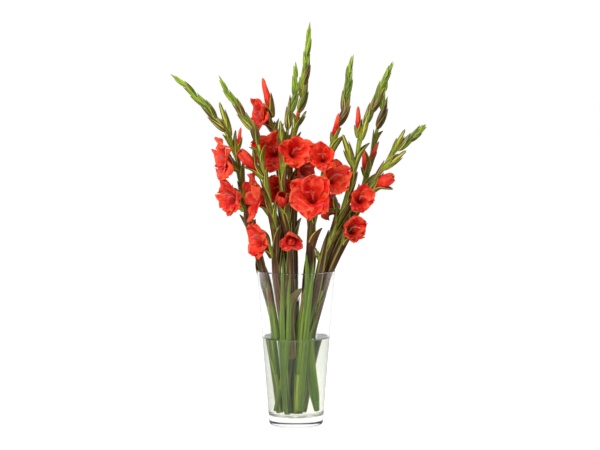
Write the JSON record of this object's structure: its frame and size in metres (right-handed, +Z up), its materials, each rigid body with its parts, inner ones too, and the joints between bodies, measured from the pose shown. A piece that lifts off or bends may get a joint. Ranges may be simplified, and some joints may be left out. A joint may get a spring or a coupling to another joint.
{
  "type": "cut gladioli in a vase",
  "caption": "Cut red gladiolus spikes with open florets, coloured buds and green tips, fanned out in a tall conical clear glass vase of water",
  "frame": {"origin": "centre of the vase's flat underside", "axes": "+Z up, the vase's axis; -Y is the front of the bouquet; +X is the viewer's right"},
  "size_m": [0.4918, 0.1657, 0.7743],
  "materials": {
    "vase_glass": "clear, polished",
    "water": "still water, slightly green",
    "stem_green": "fresh stem in ribbed leaf sheaths",
    "leaf_green": "ribbed leaf",
    "tip_green": "fresh green buds",
    "bud_skin": "coloured buds in brown-green bracts",
    "petal_red": "soft satin petals"
  },
  "bodies": {
    "root": {"glass_vase": "vase_glass", "leaf_1": "leaf_green", "leaf_2": "leaf_green", "leaf_3": "leaf_green", "leaf_4": "leaf_green", "leaf_5": "leaf_green", "leaf_6": "leaf_green", "stem_1": "stem_green", "stem_1_bud_1": "bud_skin", "stem_1_bud_2": "bud_skin", "stem_1_floret_1": "petal_red", "stem_1_floret_2": "petal_red", "stem_1_tip": "tip_green", "stem_2": "stem_green", "stem_2_floret_1": "petal_red", "stem_2_floret_2": "petal_red", "stem_2_floret_3": "petal_red", "stem_2_tip": "tip_green", "stem_3": "stem_green", "stem_3_bud_1": "bud_skin", "stem_3_floret_1": "petal_red", "stem_3_floret_2": "petal_red", "stem_3_floret_3": "petal_red", "stem_4": "stem_green", "stem_4_bud_1": "bud_skin", "stem_4_bud_2": "bud_skin", "stem_4_floret_1": "petal_red", "stem_4_tip": "tip_green", "stem_5": "stem_green", "stem_5_bud_1": "bud_skin", "stem_5_floret_1": "petal_red", "stem_5_floret_2": "petal_red", "stem_5_floret_3": "petal_red", "stem_5_tip": "tip_green", "stem_6": "stem_green", "stem_6_bud_1": "bud_skin", "stem_6_floret_1": "petal_red", "stem_6_floret_2": "petal_red", "stem_6_floret_3": "petal_red", "stem_6_tip": "tip_green", "stem_7": "stem_green", "stem_7_bud_1": "bud_skin", "stem_7_bud_2": "bud_skin", "stem_7_bud_3": "bud_skin", "stem_7_bud_4": "bud_skin", "stem_7_bud_5": "bud_skin", "stem_7_floret_1": "petal_red", "stem_7_tip": "tip_green", "stem_8": "stem_green", "stem_8_bud_1": "bud_skin", "stem_8_bud_2": "bud_skin", "stem_8_tip": "tip_green", "stem_9": "stem_green", "stem_9_bud_1": "bud_skin", "stem_9_bud_2": "bud_skin", "stem_9_floret_1": "petal_red", "stem_9_floret_2": "petal_red", "stem_9_floret_3": "petal_red", "stem_9_tip": "tip_green", "vase_water": "water"}
  },
  "joints": []
}
